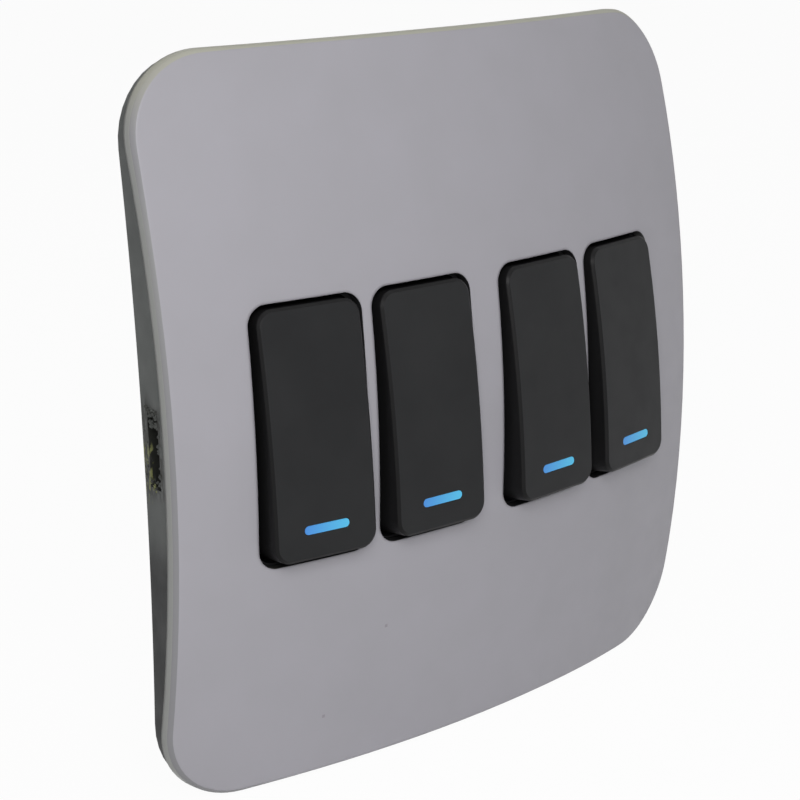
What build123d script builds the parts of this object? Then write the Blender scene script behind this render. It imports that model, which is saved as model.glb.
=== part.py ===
"""Four-gang rocker light switch on a domed square cover plate.

Millimetres. The wall is the plane y = 0, the front faces -Y and +Z is up. A height is a distance
in front of the wall, so a height h is the plane y = -h, and a depth is its opposite, as in the
wall box. The cover is part of a sphere, and the four switch modules stand square to it: each is
drawn at x = 0 and then swung about the upright line through the centre of that sphere. Rockers
are drawn level and contact blades flat, then tilted to the position they rest in.
"""
from build123d import *
from math import asin, cos, degrees, radians, sin, sqrt, tan
import os

# Cover plate
plate_width = 120.5
plate_height = 120.0
plate_corner = 14.2
plate_thickness = 2.0
plate_edge_bevel = 0.6
dome_radius = 226.0
corner_height = 3.89
hook_width = 10.0
hook_thickness = 1.4
hook_foot = 2.0
hook_bite = 0.8

# Places of the switch modules, measured straight across the crown
pair_spacing = 50.0
module_pitch = 22.6

# Rocker
rocker_width = 18.7
rocker_height = 40.2
rocker_corner = 2.8
rocker_rise = 2.25
rocker_edge_bevel = 0.45
rocker_wall = 1.5
rocker_face = 1.8
rocker_tilt = 4.0
pivot_depth = 6.5
skirt_below_pivot = 2.45
pin_radius = 1.2
rocker_rib = 1.0
rocker_rib_depth = 4.0
rocker_rib_place = 8.0

# Light window in the rocker
lens_length = 8.2
lens_width = 1.4
lens_edge_distance = 4.9
lens_flange = 0.8
lens_flange_margin = 0.9

# Plunger and its spring, in the rocker's central sleeve
plunger_width = 3.4
plunger_thickness = 2.8
plunger_seat_height = 12.4
spring_wire = 0.4
spring_turns = 3
spring_sides = 6
sleeve_wall = 1.1
sleeve_below_pivot = 4.4
sleeve_roof = 1.2

# Module housing
tray_wall = 0.9
floor_thickness = 1.2
flange_thickness = 1.2
flange_lip = 1.8
body_width = 18.0
body_height = 41.0
body_wall = 1.2
body_depth = 10.5
partition = 0.9
partition_reach = 2.0
lug_width = 7.0
lug_reach = 0.7
lug_height = 1.7

# Back cover of a module
back_thickness = 1.5
back_rim = 0.8
back_rim_wall = 1.0

# Contact blade, contacts and terminals
blade_depth = 1.0
blade_width = 5.2
blade_thickness = 0.8
blade_groove = 0.35
blade_groove_width = 1.8
blade_tilt = 7.0
contact_size = 3.0
contact_thickness = 0.8
strip_width = 4.0
strip_thickness = 0.7
knife_base = 3.2
block_width = 7.0
block_depth = 6.0
block_length = 6.2
block_wall = 1.0
block_back_gap = 1.1
block_end_gap = 0.5
wire_tunnel = 3.2
wire_entry = 4.0
clamp_screw_radius = 1.5
clamp_screw_sides = 12

# Locating lamp under the light window
lamp_width = 3.0
lamp_length = 1.6
lamp_height = 1.2
lamp_board_width = 7.0
lamp_board_length = 5.5
lamp_board_thickness = 0.9

# Carrier frame behind the cover plate
frame_inset = 0.25
frame_draft = 17.0
frame_wall = 2.0
skin_thickness = 2.0
ledge_depth = 4.2
ledge_rim = 2.0
frame_rib = 1.6
frame_rib_place = 30.0
frame_rib_foot = 2.0
prising_width = 12.8
prising_height = 3.8
prising_foot = 2.2

# Wall screws
screw_spacing = 83.5
screw_radius = 1.75
screw_neck_radius = 1.5
screw_reach = 20.8
screw_head_radius = 3.3
screw_head_height = 2.2
screw_hole_radius = 2.1
screw_well_radius = 4.0
screw_boss_width = 9.6
screw_boss_foot = 1.0
screw_seat_height = 9.2
screw_slot_width = 0.9
screw_slot_depth = 1.1

# Clearances
opening_gap = 1.05
shell_gap = 0.15
mouth_side_gap = 0.25
mouth_end_gap = 0.75
pin_clearance = 0.06
sleeve_clearance = 0.1
swing_clearance = 2.1
window_clearance = 0.6
seat_gap = 0.1
slide_gap = 0.2
edge_gap = 0.4
contact_gap = 0.3
lens_gap = 0.05

# The dome, its crown and what is concentric with it
corner_reach = sqrt((plate_width / 2 - plate_corner)**2 + (plate_height / 2 - plate_corner)**2) + plate_corner
dome_centre = sqrt(dome_radius**2 - corner_reach**2) - corner_height
crown_height = dome_radius - dome_centre
cover_inner_radius = dome_radius - plate_thickness
skin_radius = cover_inner_radius - shell_gap
face_radius = dome_radius + rocker_rise
module_places = [side * pair_spacing / 2 + half * module_pitch / 2 for side in (-1, 1) for half in (-1, 1)]
module_angles = [degrees(asin(place / dome_radius)) for place in module_places]
fan_axis = Axis((0, dome_centre, 0), (0, 0, 1))

# Openings of the cover plate
opening_width = rocker_width + 2 * opening_gap
opening_height = rocker_height + 2 * opening_gap
opening_corner = rocker_corner + opening_gap / 2

# Rocker, its skirt and its swing
pivot_height = crown_height + rocker_rise - pivot_depth
pivot_axis = Axis((0, -pivot_height, 0), (1, 0, 0))
skirt_height = pivot_height - skirt_below_pivot
rocker_swing = rocker_height / 2 * sin(radians(rocker_tilt))
face_underside = sqrt(face_radius**2 - (rocker_height / 2)**2) - dome_centre - rocker_face
sleeve_end = pivot_height - sleeve_below_pivot
sleeve_width = plunger_width + 2 * sleeve_clearance
sleeve_depth = plunger_thickness + 2 * sleeve_clearance
sleeve_top = face_underside - sleeve_roof
lens_drop = rocker_height / 2 - lens_edge_distance

# Housing tray
mouth_width = rocker_width + 2 * mouth_side_gap
mouth_length = rocker_height + 2 * mouth_end_gap
mouth_corner = rocker_corner + mouth_side_gap
tray_width = mouth_width + 2 * tray_wall
tray_length = mouth_length + 2 * tray_wall
floor_height = skirt_height - rocker_swing - swing_clearance
floor_back = floor_height - floor_thickness
flange_length = tray_length + 2 * flange_lip
flange_front = sqrt(skin_radius**2 - (module_pitch / 2)**2 - (flange_length / 2)**2) - dome_centre
flange_back = flange_front - flange_thickness
half_step = radians(module_angles[3] - module_angles[2]) / 2
flange_width = 2 * (dome_centre + flange_back) * tan(half_step) - slide_gap

# Contact blade and terminals, as depths behind the wall plane
block_end = body_height / 2 - body_wall - block_end_gap
block_start = block_end - block_length
block_back = body_depth - block_back_gap
block_front = block_back - block_depth
clamp_depth = (block_front + block_back) / 2
wire_place = block_start + block_wall + wire_tunnel / 2
clamp_tip = wire_place + wire_tunnel / 2 + seat_gap
partition_face = block_start - slide_gap
blade_half_length = partition_face - partition - edge_gap
contact_arm = blade_half_length - contact_size / 2 - seat_gap
blade_back = blade_depth + blade_thickness
knife_depth = blade_back - blade_groove + contact_gap
blade_axis = Axis((0, knife_depth, 0), (1, 0, 0))
contact_reach = blade_back + contact_thickness - knife_depth
closed_depth = knife_depth + contact_reach * cos(radians(blade_tilt)) \
    + (contact_arm + contact_size / 2) * sin(radians(blade_tilt))
fixed_contact_depth = closed_depth + contact_gap
strip_depth = fixed_contact_depth + contact_thickness
plunger_tip = blade_depth - contact_gap

# Carrier frame
frame_width = plate_width - 2 * frame_inset
frame_height = plate_height - 2 * frame_inset
frame_corner = plate_corner - frame_inset
skirt_top = sqrt(cover_inner_radius**2 - (plate_width / 2)**2) - dome_centre
skirt_lean = skirt_top * tan(radians(frame_draft))
ledge_radius = dome_centre + flange_back - seat_gap
ledge_back_radius = ledge_radius - ledge_depth
flange_orbit = dome_centre + flange_front
outer_swing = radians(module_angles[3])
inner_swing = radians(module_angles[2])
window_outer = flange_orbit * sin(outer_swing) + flange_width / 2 * cos(outer_swing) + edge_gap
window_inner = ledge_back_radius * sin(inner_swing) - flange_width / 2 * cos(inner_swing) - slide_gap
window_half = tray_length / 2 + slide_gap
recess_half = flange_length / 2 + edge_gap

sides = (0, 90, 180, 270)


def front(height):
    """The plane at a height in front of the wall, facing away from it."""
    return Plane.XZ.offset(height)


def dome_height(radius, x, z):
    """Height of a sphere concentric with the cover at a place across the front."""
    return sqrt(radius**2 - x**2 - z**2) - dome_centre


def half_size(angle, width, height):
    """Half of the plate's width or height, whichever the given side stands on."""
    return width / 2 if angle % 180 == 0 else height / 2


def outward(angle):
    """Unit direction from the middle of the plate to one of its four sides."""
    return Vector(cos(radians(angle)), 0, sin(radians(angle)))


def section_plane(angle):
    """Upright section through the middle of a side: x runs outwards and y is height."""
    out = outward(angle)
    return Plane(origin=(0, 0, 0), x_dir=out, z_dir=(out.Z, 0, -out.X))


def module_plane(angle):
    """The wall plane of a module, swung by its angle about the centre of the dome."""
    out = Vector(sin(radians(angle)), -cos(radians(angle)), 0)
    centre = Vector(0, dome_centre, 0)
    return Plane(origin=centre + out * dome_centre, x_dir=(-out.Y, out.X, 0), z_dir=out)


def prism(plane, width, length, corner, amount, mode=Mode.ADD, taper=0.0):
    """A rounded rectangle drawn on a plane and extruded, in the part being built."""
    with BuildSketch(plane) as outline:
        RectangleRounded(width, length, corner)
    extrude(outline.sketch, amount=amount, taper=taper, mode=mode)


def bar(width, heights, length, mode=Mode.ADD):
    """A box centred on the module's axis, between two heights."""
    block((-width / 2, width / 2), heights, (-length / 2, length / 2), mode)


def block(x, height, z, mode=Mode.ADD):
    """A box given by its low and high ends across, in height and upwards."""
    with BuildSketch(front(height[0])) as outline:
        with Locations(((x[0] + x[1]) / 2, (z[0] + z[1]) / 2)):
            Rectangle(x[1] - x[0], z[1] - z[0])
    extrude(outline.sketch, amount=height[1] - height[0], mode=mode)


def disc(plane, radius, amount, mode=Mode.ADD, place=(0, 0)):
    """A round bar or hole drawn on a plane and extruded."""
    with BuildSketch(plane) as outline:
        with Locations(place):
            Circle(radius)
    extrude(outline.sketch, amount=amount, mode=mode)


def upright_profile(width, *points, mode=Mode.ADD):
    """A polygon given by depth and place up the wall, extruded evenly to both sides of x = 0."""
    with BuildSketch(Plane.YZ) as outline:
        Polygon(*points, align=None)
    extrude(outline.sketch, amount=width / 2, both=True, mode=mode)


def dome(radius, mode):
    """Cuts or trims the part being built with a sphere concentric with the cover."""
    with Locations((0, dome_centre, 0)):
        Sphere(radius, mode=mode)


def roll(radius, mode):
    """Cuts or trims the part being built with a level cylinder through the centre of the dome."""
    with Locations(Location((0, dome_centre, 0), (0, 90, 0))):
        Cylinder(radius, 2 * plate_width, mode=mode)


def drum(radius, mode):
    """Cuts or trims the part being built with an upright cylinder about the modules' fan axis."""
    with Locations((0, dome_centre, 0)):
        Cylinder(radius, 2 * plate_height, mode=mode)


def save(part, name):
    """Labels a finished piece and writes it."""
    part.label = name
    export_step(part, f"parts/{name}.step")


def hook_place(angle):
    """Outward faces of a snap hook's tongue and of the frame's cavity, at the wall plane."""
    cavity = half_size(angle, frame_width, frame_height) - skirt_lean - frame_wall
    return cavity - edge_gap, cavity


def make_cover_plate():
    """Domed shell of even thickness with four openings, and a snap hook behind each side."""
    barb_top = prising_foot + prising_height - slide_gap
    with BuildPart() as cover_plate:
        prism(front(0), plate_width, plate_height, plate_corner, 2 * crown_height)
        dome(dome_radius, Mode.INTERSECT)
        chamfer(cover_plate.faces().sort_by(Axis.Y)[0].edges(), plate_edge_bevel)
        dome(cover_inner_radius, Mode.SUBTRACT)
        for angle in module_angles:
            prism(module_plane(angle), opening_width, opening_height, opening_corner,
                  2 * crown_height, Mode.SUBTRACT)
        for angle in sides:
            tongue, cavity = hook_place(angle)
            root = dome_height(cover_inner_radius, tongue, 0) + plate_thickness / 2
            barb = cavity + barb_top * tan(radians(frame_draft)) + hook_bite
            with BuildSketch(section_plane(angle)) as profile:
                Polygon((tongue - hook_thickness, root), (tongue, root), (tongue, barb_top),
                        (barb, barb_top), (barb, barb_top - hook_bite), (tongue, hook_foot),
                        (tongue - hook_thickness, hook_foot), align=None)
            extrude(profile.sketch, amount=hook_width / 2, both=True)
    return cover_plate.part


def make_frame_cavity():
    """The hollow behind the carrier frame: what is left round its ledges, bosses and ribs."""
    half_x = hook_place(0)[1]
    half_z = hook_place(90)[1]
    roof = dome_height(skin_radius - skin_thickness, 0, 0)
    with BuildPart() as ledges:
        bar(2 * (window_outer + ledge_rim), (0, 2 * crown_height), 2 * (recess_half + ledge_rim))
        drum(ledge_back_radius, Mode.SUBTRACT)
    with BuildPart() as cavity:
        prism(front(0), 2 * half_x, 2 * half_z, frame_corner - frame_wall, crown_height,
              taper=-frame_draft)
        dome(skin_radius - skin_thickness, Mode.INTERSECT)
        add(ledges.part, mode=Mode.SUBTRACT)
        with BuildSketch(front(screw_boss_foot)):
            with GridLocations(0, screw_spacing, 1, 2):
                Rectangle(screw_boss_width, screw_boss_width)
        extrude(amount=roof, mode=Mode.SUBTRACT)
        for end in (-1, 1):
            near = recess_half + ledge_rim / 2
            screw = screw_spacing / 2
            web = sorted((end * near, end * screw))
            block((-frame_rib / 2, frame_rib / 2), (frame_rib_foot, roof), web, Mode.SUBTRACT)
            for place in (-frame_rib_place, frame_rib_place):
                far = sorted((end * near, end * plate_height / 2))
                block((place - frame_rib / 2, place + frame_rib / 2), (frame_rib_foot, roof), far,
                      Mode.SUBTRACT)
    return cavity.part


def make_carrier_frame():
    """Moulded frame under the cover: drafted skirt to the wall, ledges for the modules."""
    cavity = make_frame_cavity()
    with BuildPart() as carrier_frame:
        prism(front(skirt_top), frame_width, frame_height, frame_corner, crown_height)
        prism(front(skirt_top), frame_width, frame_height, frame_corner, -skirt_top,
              taper=frame_draft)
        dome(skin_radius, Mode.INTERSECT)
        add(cavity, mode=Mode.SUBTRACT)
        for side in (-1, 1):
            across = sorted((side * window_inner, side * window_outer))
            block(across, (0, crown_height), (-window_half, window_half), Mode.SUBTRACT)
        add(make_flange_recess(), mode=Mode.SUBTRACT)
        with Locations(front(crown_height)):
            with GridLocations(0, screw_spacing, 1, 2):
                CounterBoreHole(screw_hole_radius, screw_well_radius, crown_height - screw_seat_height)
        for angle in sides:
            tongue, wall = hook_place(angle)
            reach = wall + (prising_foot + prising_height) * tan(radians(frame_draft)) \
                + hook_bite + slide_gap
            with BuildSketch(section_plane(angle)) as slot:
                with Locations((tongue - hook_thickness - slide_gap, prising_foot + prising_height)):
                    Rectangle(reach - tongue + hook_thickness + slide_gap, crown_height,
                              align=(Align.MIN, Align.MIN))
            extrude(slot.sketch, amount=hook_width / 2 + edge_gap, both=True, mode=Mode.SUBTRACT)
            with BuildSketch(section_plane(angle)) as window:
                with Locations((tongue, prising_foot)):
                    Rectangle(plate_corner, prising_height, align=(Align.MIN, Align.MIN))
            extrude(window.sketch, amount=prising_width / 2, both=True, mode=Mode.SUBTRACT)
    return carrier_frame.part


def make_flange_recess():
    """The space in front of the ledges that the modules' flanges lie in."""
    with BuildPart() as recess:
        for side in (-1, 1):
            across = sorted((side * window_inner, side * window_outer))
            block(across, (0, 2 * crown_height), (-recess_half, recess_half))
        drum(ledge_radius, Mode.SUBTRACT)
    return recess.part


def screw_stretch(radius, height, amount, mode=Mode.ADD):
    """A round stretch of both wall screws, from a height forwards."""
    with BuildSketch(front(height)) as outline:
        with GridLocations(0, screw_spacing, 1, 2):
            Circle(radius)
    extrude(outline.sketch, amount=amount, mode=mode)


def make_wall_screws():
    """Two slotted screws, necked under the head, that hold the frame to the wall box."""
    head_top = screw_seat_height + screw_head_height
    with BuildPart() as wall_screws:
        screw_stretch(screw_radius, -screw_reach, screw_reach)
        screw_stretch(screw_neck_radius, 0, screw_seat_height)
        screw_stretch(screw_head_radius, screw_seat_height, screw_head_height)
        with BuildSketch(front(head_top)):
            with GridLocations(0, screw_spacing, 1, 2):
                Rectangle(2 * screw_head_radius, screw_slot_width)
        extrude(amount=-screw_slot_depth, mode=Mode.SUBTRACT)
    return wall_screws.part


def make_housing():
    """Module body: a tray that the rocker swings in, and a chamber for the contacts behind it."""
    inner_width = body_width - 2 * body_wall
    inner_height = body_height - 2 * body_wall
    plunger_swing = (pivot_height - floor_back) * sin(radians(rocker_tilt))
    window_length = plunger_thickness + 2 * (window_clearance + plunger_swing)
    lug_top = dome_centre - ledge_back_radius + slide_gap
    access = clamp_screw_radius + edge_gap
    front_radius = sqrt(skin_radius**2 - (flange_width / 2)**2)
    with BuildPart() as housing:
        bar(flange_width, (flange_back, flange_front), flange_length)
        bar(tray_width, (floor_back, crown_height), tray_length)
        roll(front_radius, Mode.INTERSECT)
        bar(body_width, (-body_depth, floor_back), body_height)
        prism(front(floor_height), mouth_width, mouth_length, mouth_corner, crown_height, Mode.SUBTRACT)
        bar(inner_width, (-body_depth, floor_back), inner_height, Mode.SUBTRACT)
        bar(plunger_width + 2 * window_clearance, (floor_back, floor_height), window_length, Mode.SUBTRACT)
        for end in (-1, 1):
            across = sorted((end * partition_face, end * (partition_face - partition)))
            pocket = sorted((end * (partition_face - partition / 2), end * (body_height - body_wall) / 2))
            block((-inner_width / 2, inner_width / 2), (-partition_reach, floor_back), across)
            block((-partition / 2, partition / 2), (seat_gap - block_front, floor_back), pocket)
            for side in (-1, 1):
                near = block_width / 2 + seat_gap
                block(sorted((side * near, side * (near + partition))), (-block_back, floor_back), pocket)
            upright_profile(lug_width, (lug_top, end * (tray_length - tray_wall) / 2),
                            (lug_top, end * (tray_length / 2 + lug_reach)),
                            (lug_top + lug_height, end * (tray_length - tray_wall) / 2))
        bar(2 * access, (-clamp_depth - access, access - clamp_depth), 2 * body_height, Mode.SUBTRACT)
        disc(Plane.YZ.offset(-body_width), pin_radius + pin_clearance, 2 * body_width,
             Mode.SUBTRACT, (-pivot_height, 0))
    return housing.part


def make_back_cover():
    """Closes the module body from behind, with an entry to each terminal's wire hole."""
    rim_width = body_width - 2 * body_wall - 2 * seat_gap
    rim_height = body_height - 2 * body_wall - 2 * seat_gap
    with BuildPart() as back_cover:
        bar(body_width, (-body_depth - back_thickness, -body_depth), body_height)
        bar(rim_width, (-body_depth, back_rim - body_depth), rim_height)
        bar(rim_width - 2 * back_rim_wall, (-body_depth, back_rim - body_depth),
            rim_height - 2 * back_rim_wall, Mode.SUBTRACT)
        for end in (-1, 1):
            entry = sorted((end * (wire_place - wire_entry / 2), end * (wire_place + wire_entry / 2)))
            block((-wire_entry / 2, wire_entry / 2), (-body_depth - back_thickness, -body_depth), entry,
                  Mode.SUBTRACT)
    return back_cover.part


def make_rocker_hollow():
    """The space inside the rocker, round its central sleeve and ribs."""
    inner_width = rocker_width - 2 * rocker_wall
    inner_length = rocker_height - 2 * rocker_wall
    rib_foot = face_underside - rocker_rib_depth
    sleeve_outer = sleeve_depth + 2 * sleeve_wall
    with BuildPart() as hollow:
        bar(inner_width, (skirt_height, face_underside), inner_length)
        bar(sleeve_width + 2 * sleeve_wall, (skirt_height, face_underside), sleeve_outer, Mode.SUBTRACT)
        for place in (-rocker_rib_place, rocker_rib_place):
            rib = (place - rocker_rib / 2, place + rocker_rib / 2)
            block((-inner_width / 2, inner_width / 2), (rib_foot, face_underside), rib, Mode.SUBTRACT)
        spine = (sleeve_outer / 2 - rocker_rib / 2, inner_length / 2)
        block((-rocker_rib / 2, rocker_rib / 2), (rib_foot, face_underside), spine, Mode.SUBTRACT)
    return hollow.part


def make_rocker():
    """The lever: a curved cap with a skirt, a sleeve for the plunger and two pivot pins."""
    hollow = make_rocker_hollow()
    with BuildPart() as rocker:
        prism(front(skirt_height), rocker_width, rocker_height, rocker_corner, crown_height)
        roll(face_radius, Mode.INTERSECT)
        chamfer(rocker.faces().sort_by(Axis.Y)[0].edges(), rocker_edge_bevel)
        add(hollow, mode=Mode.SUBTRACT)
        bar(sleeve_width + 2 * sleeve_wall, (sleeve_end, skirt_height), sleeve_depth + 2 * sleeve_wall)
        bar(sleeve_width, (sleeve_end, sleeve_top), sleeve_depth, Mode.SUBTRACT)
        for side in (-1, 1):
            root = (rocker_width - rocker_wall) / 2
            tip = tray_width / 2 - seat_gap
            disc(Plane.YZ.offset(side * root), pin_radius, side * (tip - root), place=(-pivot_height, 0))
        with BuildSketch(front(sleeve_top)) as slot:
            with Locations((0, -lens_drop)):
                SlotOverall(lens_length + 2 * lens_gap, lens_width + 2 * lens_gap)
        extrude(slot.sketch, amount=crown_height, mode=Mode.SUBTRACT)
    return rocker.part


def make_light_window():
    """Clear blue pill that carries the lamp's light through the rocker's face."""
    reach = lens_drop + lens_width / 2 + lens_flange_margin
    underside = face_underside - lens_gap
    half_width = lens_length / 2 + lens_flange_margin
    with BuildPart() as light_window:
        with BuildSketch(front(underside - lens_flange)):
            with Locations((0, -lens_drop)):
                SlotOverall(lens_length, lens_width)
        extrude(amount=crown_height)
        roll(face_radius, Mode.INTERSECT)
        block((-half_width, half_width), (underside - lens_flange, underside),
              (-reach, reach - 2 * lens_drop))
    return light_window.part


def make_plunger():
    """Flat slider with a half-round nose that presses on the contact blade."""
    nose = plunger_thickness / 2
    with BuildPart() as plunger:
        bar(plunger_width, (nose - plunger_tip, plunger_seat_height), plunger_thickness)
        disc(Plane.YZ.offset(-plunger_width / 2), nose, plunger_width, place=(plunger_tip - nose, 0))
    return plunger.part


def make_plunger_spring():
    """Coil between the plunger and the roof of the rocker's sleeve."""
    foot = plunger_seat_height + spring_wire / 2 + seat_gap
    rise = sleeve_top - spring_wire / 2 - seat_gap - foot
    coil_radius = plunger_thickness / 2 - spring_wire / 2
    step = radians(360 / spring_sides)
    steps = spring_turns * spring_sides
    bends = [(coil_radius * cos(step * bend), -foot - rise * bend / steps, coil_radius * sin(step * bend))
             for bend in range(steps + 1)]
    with BuildPart() as plunger_spring:
        with BuildLine() as coil:
            Polyline(*bends)
        with BuildSketch(Plane(origin=coil.line @ 0, x_dir=(0, 1, 0), z_dir=coil.line % 0)):
            Rectangle(spring_wire, spring_wire)
        sweep(path=coil.line, transition=Transition.RIGHT)
    return plunger_spring.part


def contact(height):
    """A contact pad, from a height forwards, at the upper end of the blade or of a strip."""
    block((-contact_size / 2, contact_size / 2), (height, height + contact_thickness),
          (contact_arm - contact_size / 2, contact_arm + contact_size / 2))


def make_contact_blade():
    """Rocking blade with a groove for its knife edge and a contact pad behind its upper end."""
    with BuildPart() as contact_blade:
        upright_profile(blade_width, (blade_depth, -blade_half_length), (blade_depth, blade_half_length),
                        (blade_back, blade_half_length), (blade_back, blade_groove_width / 2),
                        (blade_back - blade_groove, 0), (blade_back, -blade_groove_width / 2),
                        (blade_back, -blade_half_length))
        contact(-blade_back - contact_thickness)
    return contact_blade.part


def terminal_block(end, reach):
    """Brass block with its wire tunnel and clamping thread, and a strip that reaches inwards."""
    block((-block_width / 2, block_width / 2), (-block_back, -block_front),
          sorted((end * block_start, end * block_end)))
    block((-strip_width / 2, strip_width / 2), (-strip_depth - strip_thickness, -strip_depth),
          sorted((end * (block_start + block_wall / 2), end * reach)))
    tunnel = sorted((end * (wire_place - wire_tunnel / 2), end * (wire_place + wire_tunnel / 2)))
    block((-wire_tunnel / 2, wire_tunnel / 2), (-block_back, -block_front), tunnel, Mode.SUBTRACT)
    disc(Plane.XY.offset(end * wire_place), clamp_screw_radius + pin_clearance, end * block_length,
         Mode.SUBTRACT, (0, clamp_depth))


def make_switched_terminal():
    """Upper terminal, whose strip carries the fixed contact."""
    with BuildPart() as switched_terminal:
        terminal_block(1, contact_arm - contact_size / 2)
        contact(-strip_depth)
    return switched_terminal.part


def make_common_terminal():
    """Lower terminal, whose strip ends in the knife edge that the blade rocks on."""
    with BuildPart() as common_terminal:
        terminal_block(-1, -knife_base / 2)
        upright_profile(strip_width, (strip_depth, -knife_base / 2), (knife_depth, 0),
                        (strip_depth, knife_base / 2))
    return common_terminal.part


def make_clamp_screws():
    """The grub screws that clamp the wires, two in each module."""
    top = body_height / 2 - edge_gap
    with BuildPart() as pair:
        for end in (-1, 1):
            with BuildSketch(Plane.XY.offset(end * clamp_tip)) as shank:
                with Locations((0, clamp_depth)):
                    RegularPolygon(clamp_screw_radius, clamp_screw_sides)
            extrude(shank.sketch, amount=end * (top - clamp_tip))
    with BuildPart() as clamp_screws:
        for angle in module_angles:
            add(pair.part.rotate(fan_axis, angle))
    return clamp_screws.part


def make_locating_lamp():
    """Small lamp on its board, on the tray's floor under the light window."""
    board_top = floor_height + lamp_board_thickness
    with BuildPart() as locating_lamp:
        block((-lamp_board_width / 2, lamp_board_width / 2), (floor_height, board_top),
              (-lens_drop - lamp_board_length / 2, -lens_drop + lamp_board_length / 2))
        block((-lamp_width / 2, lamp_width / 2), (board_top, board_top + lamp_height),
              (-lens_drop - lamp_length / 2, -lens_drop + lamp_length / 2))
    return locating_lamp.part


os.makedirs("parts", exist_ok=True)
save(make_cover_plate(), "cover_plate")
save(make_carrier_frame(), "carrier_frame")
save(make_wall_screws(), "wall_screws")
save(make_clamp_screws(), "clamp_screws")

fixed_pieces = {
    "housing": make_housing(),
    "back_cover": make_back_cover(),
    "switched_terminal": make_switched_terminal(),
    "common_terminal": make_common_terminal(),
    "locating_lamp": make_locating_lamp(),
}
rocking_pieces = {
    "rocker": make_rocker(),
    "light_window": make_light_window(),
    "plunger": make_plunger(),
    "plunger_spring": make_plunger_spring(),
}
module_pieces = {
    **fixed_pieces,
    **{name: piece.rotate(pivot_axis, -rocker_tilt) for name, piece in rocking_pieces.items()},
    "contact_blade": make_contact_blade().rotate(blade_axis, blade_tilt),
}
for number, angle in enumerate(module_angles, start=1):
    for name, piece in module_pieces.items():
        save(piece.rotate(fan_axis, angle), f"{name}_{number}")
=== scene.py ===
"""Looks of a four-gang rocker light switch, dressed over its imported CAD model. Metres, unless said."""
import math
import random

import bmesh
import bpy
from mathutils import Matrix, Vector, noise


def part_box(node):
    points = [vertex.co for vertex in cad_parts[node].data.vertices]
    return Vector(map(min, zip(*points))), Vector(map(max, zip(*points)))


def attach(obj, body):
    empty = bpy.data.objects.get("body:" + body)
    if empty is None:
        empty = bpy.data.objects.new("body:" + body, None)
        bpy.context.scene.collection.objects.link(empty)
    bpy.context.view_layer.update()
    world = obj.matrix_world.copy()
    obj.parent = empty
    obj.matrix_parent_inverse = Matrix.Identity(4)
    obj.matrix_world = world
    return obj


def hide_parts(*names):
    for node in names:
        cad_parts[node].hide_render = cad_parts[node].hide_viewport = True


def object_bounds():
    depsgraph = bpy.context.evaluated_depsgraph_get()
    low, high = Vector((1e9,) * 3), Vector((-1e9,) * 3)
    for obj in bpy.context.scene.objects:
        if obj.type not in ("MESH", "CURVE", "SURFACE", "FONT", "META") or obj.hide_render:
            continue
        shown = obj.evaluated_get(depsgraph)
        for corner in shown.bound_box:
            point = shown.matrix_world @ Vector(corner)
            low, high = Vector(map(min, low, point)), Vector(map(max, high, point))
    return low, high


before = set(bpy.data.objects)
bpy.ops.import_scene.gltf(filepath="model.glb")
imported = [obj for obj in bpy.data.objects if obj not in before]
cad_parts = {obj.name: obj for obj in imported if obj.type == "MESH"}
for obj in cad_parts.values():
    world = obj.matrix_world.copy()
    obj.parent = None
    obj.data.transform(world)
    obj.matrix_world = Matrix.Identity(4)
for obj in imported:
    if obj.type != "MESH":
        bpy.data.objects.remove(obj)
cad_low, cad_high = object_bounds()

MM = 0.001
modules = range(1, 5)

# Camera, fitted to the photograph
camera_place = Vector((-0.253846, -0.270801, 0.083182))
camera_target = Vector((-0.003642, 0.0, -0.003115))
camera_roll = math.radians(-2.029)
camera_sensor = 36.0
photo_width = 800
camera_focal_pixels = 2207.7

# Lamps: name, place, size, power and colour
lamps = (
    ("key", (-0.45, -0.6, 0.36), 0.5, 5.2, (1.0, 0.99, 0.99)),
    ("fill", (0.7, -0.9, 0.1), 0.7, 0.2, (0.98, 0.99, 1.0)),
    ("top", (0.1, -0.15, 1.1), 0.9, 2.2, (1.0, 1.0, 1.0)),
)
sky_colour = (0.97, 0.98, 1.0)
sky_strength = 0.06
backdrop = (0.8, 0.8, 0.8)
backdrop_share = 1.0
floor_colour = (0.9, 0.9, 0.9)
floor_white_share = 0.96
floor_side = 6
floor_gap = 0.0002

# Colours, linear
plate_light = (0.385, 0.378, 0.412)
plate_dark = (0.372, 0.366, 0.396)
rim_side = (0.325, 0.332, 0.32)
# The rim's top: yellower, and painted lighter as if lit from above
rim_top_yellow_lit = (0.43, 0.428, 0.36)
# Painted shade along the rim's edge
rim_edge_shade = (0.25, 0.25, 0.262)
# Painted shade on the walls of the plate's openings
opening_wall_shade = (0.02, 0.02, 0.021)
frame_light = (0.1, 0.108, 0.104)
frame_dark = (0.083, 0.089, 0.087)
frame_low = (0.0145, 0.0153, 0.0156)
rocker_light = (0.0238, 0.0244, 0.0254)
rocker_dark = (0.0195, 0.02, 0.0211)
# Painted shade on the chamfer round the rocker's face
rocker_edge_shade = (0.008, 0.008, 0.0084)
module_light = (0.012, 0.012, 0.013)
module_dark = (0.009, 0.009, 0.01)
cover_light = (0.17, 0.17, 0.168)
cover_dark = (0.14, 0.14, 0.138)
nylon_light = (0.72, 0.7, 0.64)
nylon_dark = (0.66, 0.64, 0.58)
steel_light = (0.62, 0.62, 0.6)
steel_dark = (0.5, 0.5, 0.49)
brass_light = (0.78, 0.56, 0.24)
brass_dark = (0.66, 0.45, 0.17)
resin_light = (0.35, 0.5, 0.85)
resin_dark = (0.25, 0.4, 0.8)
window_start = (0.05, 0.18, 0.5)
window_end = (0.07, 0.4, 0.59)
window_glow = 0.46
notch_tint = (0.028, 0.029, 0.027)
grime_yellow = (0.19, 0.2, 0.085)
grime_black = (0.02, 0.021, 0.018)
grime_grey = (0.075, 0.08, 0.075)
speck = (0.29, 0.28, 0.3)

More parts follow.
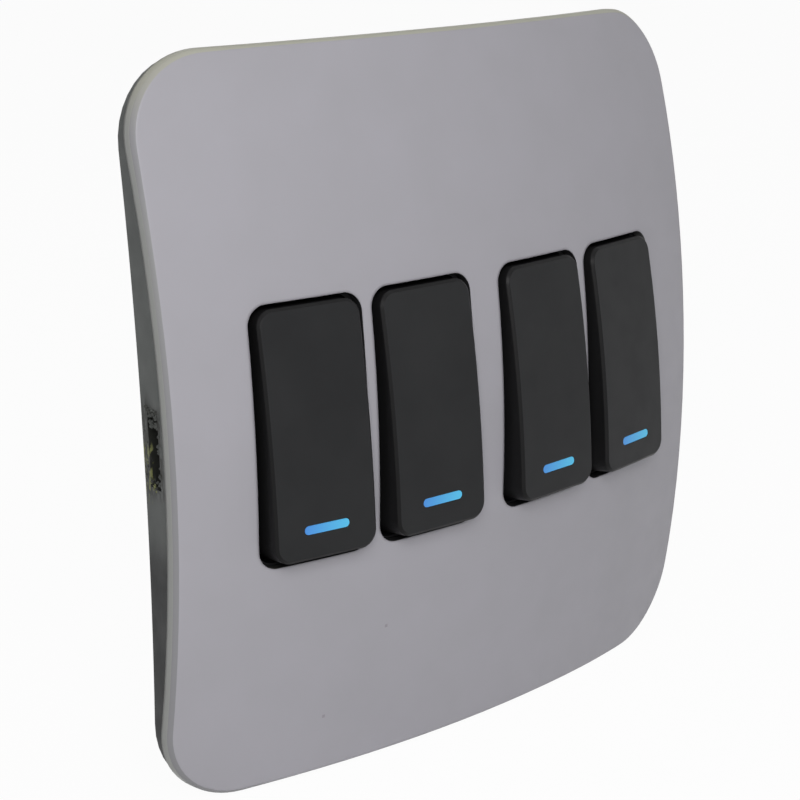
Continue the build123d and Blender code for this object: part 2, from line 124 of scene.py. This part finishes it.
# Second tone in the crumbs of each kind of dirt
yellow_mix = (0.1, 0.11, 0.05)
black_mix = (0.045, 0.047, 0.042)
grey_mix = (0.04, 0.043, 0.04)

# Noise in plastics and metals: cycles per metre and detail of the tone and of the gloss, and how far
# the roughness moves; the grain's detail and strength; the span of the noise that all of them use
plastic_noise = ((90, 3), (260, 2), 0.05)
plastic_grain = (3, 0.5)
metal_noise = ((300, 4), (900, 3), 0.08)
metal_grain = (2, 0.4)
metal_grain_height = 0.00002
noise_span = (0.3, 0.7)
bevel_samples = 6

# Spans of a normal's share along an axis, over which the plate's rim and the rocker's edge change tone
rim_edge_shade_out = (0.95, 0.8)
rim_side_out = (0.6, 0.35)
rim_top_yellow_lit_out = (0.9, 0.6)
rim_top_yellow_lit_up = (0.2, 0.9)
opening_wall_shade_out = (0.7, 0.5)
rocker_edge_shade_out = (0.9, 0.8)

# The plate's openings and specks, and the heights between which the frame darkens
opening_middle = (0.0, -0.016, 0.0)
opening_reach = (0.058, 0.01, 0.03)
speck_places = ((-0.0217, -0.0359), (-0.0327, -0.0496))
speck_radius = 0.00032
speck_face = -0.012
speck_depth = 0.02
frame_low_heights = (-0.013, -0.02)

# Marks round the notch in the left side, first a darker streaky tint over the notch, then black and
# yellow dirt: middle, reach, cycles per metre, span of the noise and tone
notch_marks = (
    ((-0.0557, -0.0041, 0.0), (0.0037, 0.003, 0.0095), 600, (0.36, 0.5), notch_tint),
    ((-0.0585, -0.0035, -0.0005), (0.003, 0.0042, 0.0083), 1300, (0.42, 0.52), grime_black),
    ((-0.0589, -0.0012, -0.0042), (0.0012, 0.0014, 0.0052), 1500, (0.5, 0.58), grime_yellow),
)
streak_detail = 4
streak_shape = (1, 1, 0.35)
mask_core = 0.7

# Areas of crumbs round the notch, in millimetres: lowest, highest, nearest the wall, nearest the
# front and the crumbs' usual radius
crumbs_foot = (-6.9, -5.2, 1.6, 4.6, 0.2)
crumbs_rear_low = (-6.0, 1.0, 0.6, 2.3, 0.2)
crumbs_rear = (-6.0, 6.8, 0.6, 2.3, 0.2)
crumbs_head = (5.6, 6.8, 1.8, 5.6, 0.3)
crumbs_corner = (3.4, 6.4, 2.4, 5.6, 0.42)
crumbs_front = (-5.8, 3.4, 5.5, 6.1, 0.3)
crumb_kinds = (
    ("crumbs_yellow", yellow_mix, grime_yellow, 9, (crumbs_foot, crumbs_rear_low)),
    ("crumbs_black", black_mix, grime_black, 21, (crumbs_foot, crumbs_rear, crumbs_head)),
    ("crumbs_grey", grey_mix, grime_grey, 24, (crumbs_corner, crumbs_front)),
)
crumb_seed = 11
crumb_sizes = (0.6, 1.4)
crumb_swell = 0.7
crumb_waves = 1.3
crumb_turn = 2.3

# The frame's skirt, in millimetres: it leans in from the rim by a share of the rim's height at each
# place, and holds the same windows as the solid under it
skirt_half = (60.0, 59.75)
skirt_corner = 13.95
skirt_slope = 0.245
skirt_gap = 0.05
skirt_bite = 0.15
skirt_side_parts = 8
skirt_corner_parts = 10
skirt_crease = math.radians(30)
cover_inside = 224.0
dome_centre = 207.8
solid_top = 7.95
solid_slope = 0.3057
window_half = 6.4
window_foot = 2.2
window_head = 6.0
window_level = 1

# Wall screws, in millimetres
screw_up = 41.75
screw_reach = 20.8
thread_crest = 1.75
thread_root = 1.42
thread_pitch = 0.6
thread_sides = 24
thread_rings = 6
tip_share = 0.7
neck_radius = 1.5
neck_foot = -0.3
neck_overlap = 0.2
neck_sides = 32
head_seat = 9.2
head_radius = 3.3
head_top = 11.4
head_edge = 0.25
head_sides = 40
slot_floor = 10.3
slot_half = 0.45
slot_overlap = 0.1
slot_sides = 24

# Sockets of the node that mixes two colours; their names are shared with its other types
mix_share, mix_under, mix_over, mix_result = 0, 6, 7, 2


def add_node(owner, kind, **settings):
    """Adds a shader node to a material or the world and sets its attributes."""
    node = owner.node_tree.nodes.new(kind)
    for name, value in settings.items():
        setattr(node, name, value)
    return node


def surface(name, roughness, **inputs):
    """A Principled material, with the inputs that are the same all over set on its sockets."""
    material = bpy.data.materials.new(name)
    material.use_nodes = True
    shader = material.node_tree.nodes["Principled BSDF"]
    shader.inputs["Roughness"].default_value = roughness
    for socket, value in inputs.items():
        shader.inputs[socket.replace("_", " ")].default_value = value
    return material, shader


def clouds(material, scale, detail, shape=(1, 1, 1)):
    """Noise in the object's own coordinates; scale is in cycles per metre."""
    links = material.node_tree.links
    place = add_node(material, "ShaderNodeTexCoord")
    shares = add_node(material, "ShaderNodeVectorMath", operation="MULTIPLY")
    shares.inputs[1].default_value = shape
    texture = add_node(material, "ShaderNodeTexNoise")
    texture.inputs["Scale"].default_value = scale
    texture.inputs["Detail"].default_value = detail
    links.new(place.outputs["Object"], shares.inputs[0])
    links.new(shares.outputs["Vector"], texture.inputs["Vector"])
    return texture.outputs["Fac"]


def blend(material, amount, first, last, start=0.0, end=1.0):
    """A colour that runs from one tone to another while the amount runs from start to end."""
    ramp = add_node(material, "ShaderNodeValToRGB")
    elements = ramp.color_ramp.elements
    elements[0].position = start
    elements[1].position = end
    elements[0].color = (*first, 1)
    elements[1].color = (*last, 1)
    material.node_tree.links.new(amount, ramp.inputs["Fac"])
    return ramp.outputs["Color"]


def remap(material, value, start, end, low=0.0, high=1.0, kind="LINEAR"):
    """Maps a value from between start and end to between low and high."""
    scaled = add_node(material, "ShaderNodeMapRange", interpolation_type=kind)
    for socket, number in (("From Min", start), ("From Max", end), ("To Min", low), ("To Max", high)):
        scaled.inputs[socket].default_value = number
    material.node_tree.links.new(value, scaled.inputs["Value"])
    return scaled.outputs["Result"]


def step(material, value, span):
    """A smooth step from 0 at one end of a span to 1 at the other."""
    return remap(material, value, *span, kind="SMOOTHSTEP")


def combine(owner, operation, first, second=0.0):
    """A sum, product or other join of two outputs; the second may be a plain number."""
    joined = add_node(owner, "ShaderNodeMath", operation=operation)
    owner.node_tree.links.new(first, joined.inputs[0])
    if isinstance(second, float):
        joined.inputs[1].default_value = second
    else:
        owner.node_tree.links.new(second, joined.inputs[1])
    return joined.outputs["Value"]


def parts_of(material, output):
    """The X, Y and Z of the object's own coordinates or normals."""
    place = add_node(material, "ShaderNodeTexCoord")
    split = add_node(material, "ShaderNodeSeparateXYZ")
    material.node_tree.links.new(place.outputs[output], split.inputs["Vector"])
    return [split.outputs[axis] for axis in "XYZ"]


def near(material, middle, reach):
    """A mask that is 1 at a place and falls to 0 at a distance along each axis."""
    mask = None
    for value, centre, limit in zip(parts_of(material, "Object"), middle, reach):
        distance = combine(material, "ABSOLUTE", combine(material, "SUBTRACT", value, float(centre)))
        inside = step(material, distance, (limit, limit * mask_core))
        mask = inside if mask is None else combine(material, "MULTIPLY", mask, inside)
    return mask


def overlay(material, shader, mask, colour):
    """Lays a colour over the base colour, where the mask is 1."""
    mix = add_node(material, "ShaderNodeMix", data_type="RGBA")
    links = material.node_tree.links
    links.new(mask, mix.inputs[mix_share])
    links.new(shader.inputs["Base Color"].links[0].from_socket, mix.inputs[mix_under])
    mix.inputs[mix_over].default_value = (*colour, 1)
    links.new(mix.outputs[mix_result], shader.inputs["Base Color"])


def bare_rim(material, shader):
    """Unpainted rim: grey at the sides, yellower on top and painted lighter there as if lit from above,
    with painted shade along the edge; painted shade on the openings' walls.
    """
    _, out, up = parts_of(material, "Normal")
    facing = combine(material, "ABSOLUTE", out)
    # Painted shade along the rim's edge
    overlay(material, shader, step(material, facing, rim_edge_shade_out), rim_edge_shade)
    overlay(material, shader, step(material, facing, rim_side_out), rim_side)
    # The rim's top: yellower, and painted lighter as if lit from above
    top = combine(material, "MULTIPLY", step(material, up, rim_top_yellow_lit_up),
                  step(material, facing, rim_top_yellow_lit_out))
    overlay(material, shader, top, rim_top_yellow_lit)
    # Painted shade on the openings' walls, within the openings
    walls = combine(material, "MULTIPLY", near(material, opening_middle, opening_reach),
                    step(material, facing, opening_wall_shade_out))
    overlay(material, shader, walls, opening_wall_shade)


def paint_edge_shade(material, shader):
    """Paints shade on the chamfer round the rocker's face, darker than the face."""
    facing = combine(material, "ABSOLUTE", parts_of(material, "Normal")[1])
    overlay(material, shader, step(material, facing, rocker_edge_shade_out), rocker_edge_shade)


def add_specks(material, shader):
    """Small marks on the painted face."""
    for x, z in speck_places:
        mask = near(material, (x, speck_face, z), (speck_radius, speck_depth, speck_radius))
        overlay(material, shader, mask, speck)


def add_low_darkening_and_notch_marks(material, shader):
    """The frame's darker lower half, a darker streaky tint over its left-hand notch, and black and
    yellow dirt round the notch.
    """
    up = parts_of(material, "Object")[2]
    overlay(material, shader, step(material, up, frame_low_heights), frame_low)
    for middle, reach, scale, span, colour in notch_marks:
        streaks = step(material, clouds(material, scale, streak_detail, streak_shape), span)
        mask = combine(material, "MULTIPLY", near(material, middle, reach), streaks)
        overlay(material, shader, mask, colour)


def vary(material, shader, dark, light, roughness, tone_noise, gloss_noise, gloss_change):
    """Moves the base colour between two tones, and the roughness about its middle value."""
    links = material.node_tree.links
    colour = blend(material, clouds(material, *tone_noise), dark, light, *noise_span)
    gloss = remap(material, clouds(material, *gloss_noise), *noise_span,
                  roughness - gloss_change, roughness + gloss_change)
    links.new(colour, shader.inputs["Base Color"])
    links.new(gloss, shader.inputs["Roughness"])


def relief(material, shader, grain, detail, strength, height, rounding=0.0):
    """Bump from a fine noise, over edges that are shaded as if rounded."""
    links = material.node_tree.links
    bump = add_node(material, "ShaderNodeBump")
    if rounding:
        bevel = add_node(material, "ShaderNodeBevel", samples=bevel_samples)
        bevel.inputs["Radius"].default_value = rounding
        links.new(bevel.outputs["Normal"], bump.inputs["Normal"])
    bump.inputs["Strength"].default_value = strength
    bump.inputs["Distance"].default_value = height
    links.new(clouds(material, grain, detail), bump.inputs["Height"])
    links.new(bump.outputs["Normal"], shader.inputs["Normal"])


def moulded(name, dark, light, roughness, grain, height, rounding=0.0, **inputs):
    """Moulded or painted plastic: faint clouds of tone, uneven gloss and a fine grain."""
    material, shader = surface(name, roughness, **inputs)
    vary(material, shader, dark, light, roughness, *plastic_noise)
    relief(material, shader, grain, *plastic_grain, height, rounding)
    return material, shader


def metal(name, dark, light, roughness, grain):
    """Bare metal with a faint drawn or plated texture."""
    material, shader = surface(name, roughness, Metallic=1.0)
    vary(material, shader, dark, light, roughness, *metal_noise)
    relief(material, shader, grain, *metal_grain, metal_grain_height)
    return material


def lit_window(number):
    """Clear blue pill lit from behind, deeper blue at its left end than at its right."""
    left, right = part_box(f"light_window_{number}")
    material, shader = surface(f"window_light_{number}", roughness=0.3, Specular_IOR_Level=0.25,
                               Emission_Strength=window_glow)
    along = remap(material, parts_of(material, "Object")[0], left.x, right.x)
    colour = blend(material, along, window_start, window_end)
    for socket in ("Base Color", "Emission Color"):
        material.node_tree.links.new(colour, shader.inputs[socket])
    return material


def dress(node, material):
    """Gives a CAD node its material."""
    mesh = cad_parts[node].data
    mesh.materials.clear()
    mesh.materials.append(material)


def dress_nodes():
    """Materials of every CAD node, and the pieces that are made of two of them."""
    plate = moulded("plate_paint", plate_dark, plate_light, roughness=0.45, grain=2600,
                    height=0.00001, rounding=0.0008, Specular_IOR_Level=0.3)
    bare_rim(*plate)
    add_specks(*plate)
    dark = moulded("frame_plastic", frame_dark, frame_light, roughness=0.55, grain=1800,
                   height=0.00004, Specular_IOR_Level=0.25)
    add_low_darkening_and_notch_marks(*dark)
    rocker = moulded("rocker_plastic", rocker_dark, rocker_light, roughness=0.42, grain=3200,
                     height=0.000012, rounding=0.0003, Specular_IOR_Level=0.12)
    paint_edge_shade(*rocker)
    module, _ = moulded("module_plastic", module_dark, module_light, roughness=0.55, grain=1500,
                        height=0.00003, Specular_IOR_Level=0.2)
    back, _ = moulded("back_cover_plastic", cover_dark, cover_light, roughness=0.55, grain=1500,
                      height=0.00003)
    nylon, _ = moulded("nylon", nylon_dark, nylon_light, roughness=0.4, grain=1500, height=0.00001)
    resin, _ = moulded("lamp_resin", resin_dark, resin_light, roughness=0.2, grain=900,
                       height=0.00001)
    steel = metal("zinc_steel", steel_dark, steel_light, roughness=0.34, grain=1800)
    brass = metal("brass", brass_dark, brass_light, roughness=0.3, grain=2200)
    dress("cover_plate", plate[0])
    dress("carrier_frame", dark[0])
    make_skirt(dark[0])
    dress("wall_screws", steel)
    make_screws(steel)
    dress("clamp_screws", steel)
    each = {"housing": module, "back_cover": back, "rocker": rocker[0], "plunger": nylon,
            "plunger_spring": steel, "contact_blade": brass, "common_terminal": brass,
            "switched_terminal": brass, "locating_lamp": resin}
    for number in modules:
        for piece, material in each.items():
            dress(f"{piece}_{number}", material)
        dress(f"light_window_{number}", lit_window(number))


def add_point(mesh, x, height, z):
    """Adds a vertex at a height in front of the wall plane, in millimetres."""
    return mesh.verts.new((x * MM, -height * MM, z * MM))


def make_object(mesh, name, material):
    """Turns a finished mesh into an object with that name and material."""
    data = bpy.data.meshes.new(name)
    mesh.to_mesh(data)
    mesh.free()
    data.materials.append(material)
    made = bpy.data.objects.new(name, data)
    bpy.context.scene.collection.objects.link(made)
    return made


def make_lump(mesh, place, size, seed):
    """Adds one crumb of dirt, in millimetres."""
    turn = Matrix.Rotation(seed, 4, "X") @ Matrix.Rotation(crumb_turn * seed, 4, "Z")
    for vertex in bmesh.ops.create_icosphere(mesh, subdivisions=2, radius=size)["verts"]:
        swell = 1 + crumb_swell * noise.noise(vertex.co * (crumb_waves / size) + Vector((seed, 0, 0)))
        vertex.co = (turn @ (vertex.co * swell) + Vector(place)) * MM


def make_crumbs():
    """Crumbs of dirt along the left-hand notch's rear edge, at its ends and along its front edge."""
    draw = random.Random(crumb_seed)
    for name, dark, light, count, areas in crumb_kinds:
        mesh = bmesh.new()
        for number in range(count):
            lowest, highest, near_wall, near_front, size = areas[number % len(areas)]
            up, height = draw.uniform(lowest, highest), draw.uniform(near_wall, near_front)
            skin = skirt_slope * (solid_top - height) - skirt_half[0]
            place = (skin + size / 2, -height, up)
            make_lump(mesh, place, size * draw.uniform(*crumb_sizes), number + 1.0)
        material, _ = moulded(name + "_dirt", dark, light, roughness=0.8, grain=2500, height=0.00003)
        crumbs = make_object(mesh, name, material)
        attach(crumbs, "carrier")


def skirt_columns():
    """Places along the frame's outline, each with its way out and whether a window starts there."""
    columns = []
    for side in range(4):
        turn = side * math.pi / 2
        out = Vector((round(math.cos(turn)), round(math.sin(turn))))
        along = Vector((-out.y, out.x))
        reach, half = skirt_half if side % 2 == 0 else skirt_half[::-1]
        straight = half - skirt_corner
        offsets = [window_half + (straight - window_half) * part / skirt_side_parts
                   for part in range(skirt_side_parts + 1)]
        for offset in [-offset for offset in reversed(offsets)] + offsets:
            columns.append((out * reach + along * offset, out, offset == -window_half))
        middle = out * (reach - skirt_corner) + along * straight
        for part in range(1, skirt_corner_parts):
            turn = part * math.pi / (2 * skirt_corner_parts)
            way = out * math.cos(turn) + along * math.sin(turn)
            columns.append((middle + way * skirt_corner, way, False))
    return columns


def make_skirt(material):
    """The frame's skirt as the photograph shows it, over the solid one, with its four windows."""
    columns = skirt_columns()
    levels = (0.0, window_foot / solid_top, window_head / solid_top, 1.0)
    mesh = bmesh.new()
    grid = []
    for place, way, _ in columns:
        top = math.sqrt(cover_inside ** 2 - place.length_squared) - dome_centre - skirt_gap
        column = []
        for height in (level * top for level in levels):
            leans = skirt_slope * (top - height), solid_slope * (solid_top - height) + skirt_bite
            skins = [place - way * lean for lean in leans]
            column.append([add_point(mesh, skin.x, height, skin.y) for skin in skins])
        grid.append(column)
    count = len(columns)
    kept = [(column, level) for column in range(count) for level in range(len(levels) - 1)
            if not (level == window_level and columns[column][2])]
    for column, level in kept:
        before, after = (column - 1) % count, (column + 1) % count
        corners = [grid[column][level], grid[after][level], grid[after][level + 1],
                   grid[column][level + 1]]
        beside = [(column, level - 1), (after, level), (column, level + 1), (before, level)]
        mesh.faces.new([outer for outer, _ in corners])
        mesh.faces.new([inner for _, inner in corners])
        for number, neighbour in enumerate(beside):
            if neighbour not in kept:
                one, two = corners[number], corners[(number + 1) % len(corners)]
                mesh.faces.new((one[0], two[0], two[1], one[1]))
    bmesh.ops.recalc_face_normals(mesh, faces=mesh.faces)
    skirt = make_object(mesh, "frame_skirt", material)
    skirt.data.shade_smooth()
    skirt.data.set_sharp_from_angle(angle=skirt_crease)
    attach(skirt, "carrier")


def stack(mesh, rings):
    """Joins rings of (x, height, z) points, in millimetres, into a closed solid."""
    rows = [[add_point(mesh, *point) for point in ring] for ring in rings]
    for lower, upper in zip(rows, rows[1:]):
        for one, two in zip(range(-1, len(lower) - 1), range(len(lower))):
            mesh.faces.new((lower[one], lower[two], upper[two], upper[one]))
    mesh.faces.new(rows[0])
    mesh.faces.new(rows[-1])


def arc(radius, height, start, end, count, up):
    """Points of an arc round a wall screw's axis, its angles in degrees."""
    turns = [math.radians(start + (end - start) * part / count) for part in range(count)]
    return [(radius * math.cos(turn), height, up + radius * math.sin(turn)) for turn in turns]


def thread_row(depth, up):
    """One ring of the thread at a depth behind the wall plane; the thread tapers off at the tip."""
    full = min(1.0, (screw_reach - depth) / (2 * thread_pitch))
    row = []
    for side in range(thread_sides):
        phase = (depth / thread_pitch + side / thread_sides) % 1.0
        ridge = 1 - abs(2 * phase - 1)
        radius = thread_root + (thread_crest - thread_root) * ridge
        radius *= tip_share + (1 - tip_share) * full
        turn = 2 * math.pi * side / thread_sides
        row.append((radius * math.cos(turn), -depth, up + radius * math.sin(turn)))
    return row


def make_screws(material):
    """The two wall screws with their threads, necks and slotted heads."""
    mesh = bmesh.new()
    rows = thread_rings * round(screw_reach / thread_pitch)
    lip = math.degrees(math.asin(slot_half / head_radius))
    small = head_radius - head_edge
    neck = ((neck_radius, neck_foot), (neck_radius, head_seat + neck_overlap))
    lower = ((small, head_seat), (head_radius, head_seat + head_edge), (head_radius, slot_floor))
    upper = ((head_radius, slot_floor - slot_overlap), (head_radius, head_top - head_edge),
             (small, head_top))
    for up in (-screw_up, screw_up):
        stack(mesh, [thread_row(screw_reach * row / rows, up) for row in range(rows + 1)])
        stack(mesh, [arc(*ring, 0, 360, neck_sides, up) for ring in neck])
        stack(mesh, [arc(*ring, 0, 360, head_sides, up) for ring in lower])
        for start in (0, 180):
            stack(mesh, [arc(*ring, start + lip, start + 180 - lip, slot_sides, up) for ring in upper])
    bmesh.ops.recalc_face_normals(mesh, faces=mesh.faces)
    screws = make_object(mesh, "wall_screws_threaded", material)
    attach(screws, "carrier")
    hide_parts("wall_screws")


def make_camera():
    """Camera at the photograph's place, level and width of view."""
    data = bpy.data.cameras.new("camera")
    data.sensor_fit = "HORIZONTAL"
    data.sensor_width = camera_sensor
    data.lens = camera_focal_pixels / photo_width * camera_sensor
    camera = bpy.data.objects.new("camera", data)
    bpy.context.scene.collection.objects.link(camera)
    forward = (camera_target - camera_place).normalized()
    level = forward.cross(Vector((0, 0, 1))).normalized()
    upright = level.cross(forward)
    right = level * math.cos(camera_roll) + upright * math.sin(camera_roll)
    up = upright * math.cos(camera_roll) - level * math.sin(camera_roll)
    turn = Matrix((right, up, -forward)).transposed().to_4x4()
    camera.matrix_world = Matrix.Translation(camera_place) @ turn
    bpy.context.scene.camera = camera


def show_plain(owner, lit, plain, share, end):
    """Shows the camera and reflections a plain tone that no lamp changes, mixed in by a share."""
    links = owner.node_tree.links
    path = add_node(owner, "ShaderNodeLightPath")
    seen = combine(owner, "MAXIMUM", path.outputs["Is Camera Ray"], path.outputs["Is Glossy Ray"])
    seen = combine(owner, "MAXIMUM", seen, path.outputs["Is Transmission Ray"])
    mix = add_node(owner, "ShaderNodeMixShader")
    links.new(combine(owner, "MULTIPLY", seen, share), mix.inputs["Fac"])
    links.new(lit, mix.inputs[1])
    links.new(plain, mix.inputs[2])
    links.new(mix.outputs["Shader"], owner.node_tree.nodes[end].inputs["Surface"])


def make_floor():
    """Plain white floor just under the plate's lower edge."""
    material, shader = surface("floor", roughness=0.9, Base_Color=(*floor_colour, 1))
    white = add_node(material, "ShaderNodeEmission")
    show_plain(material, shader.outputs["BSDF"], white.outputs["Emission"], floor_white_share,
               "Material Output")
    bpy.ops.mesh.primitive_plane_add(size=floor_side, location=(0, 0, cad_low.z - floor_gap))
    floor = bpy.context.object
    floor.name = "floor"
    floor.data.materials.append(material)


def make_world():
    """Even sky for the light, with a pale grey backdrop for the camera and reflections."""
    world = bpy.data.worlds.new("studio")
    bpy.context.scene.world = world
    world.use_nodes = True
    sky = world.node_tree.nodes["Background"]
    sky.inputs["Color"].default_value = (*sky_colour, 1)
    sky.inputs["Strength"].default_value = sky_strength
    grey = add_node(world, "ShaderNodeBackground")
    grey.inputs["Color"].default_value = (*backdrop, 1)
    show_plain(world, sky.outputs["Background"], grey.outputs["Background"], backdrop_share,
               "World Output")


def make_lamp(name, place, size, power, colour):
    """Square soft lamp aimed at the middle of the plate."""
    data = bpy.data.lights.new(name, "AREA")
    data.size = size
    data.energy = power
    data.color = colour
    lamp = bpy.data.objects.new(name, data)
    bpy.context.scene.collection.objects.link(lamp)
    lamp.location = place
    lamp.rotation_euler = (-Vector(place)).to_track_quat("-Z", "Y").to_euler()


make_camera()
make_world()
make_floor()
for lamp in lamps:
    make_lamp(*lamp)
dress_nodes()
make_crumbs()
bpy.context.scene.view_settings.view_transform = "Standard"
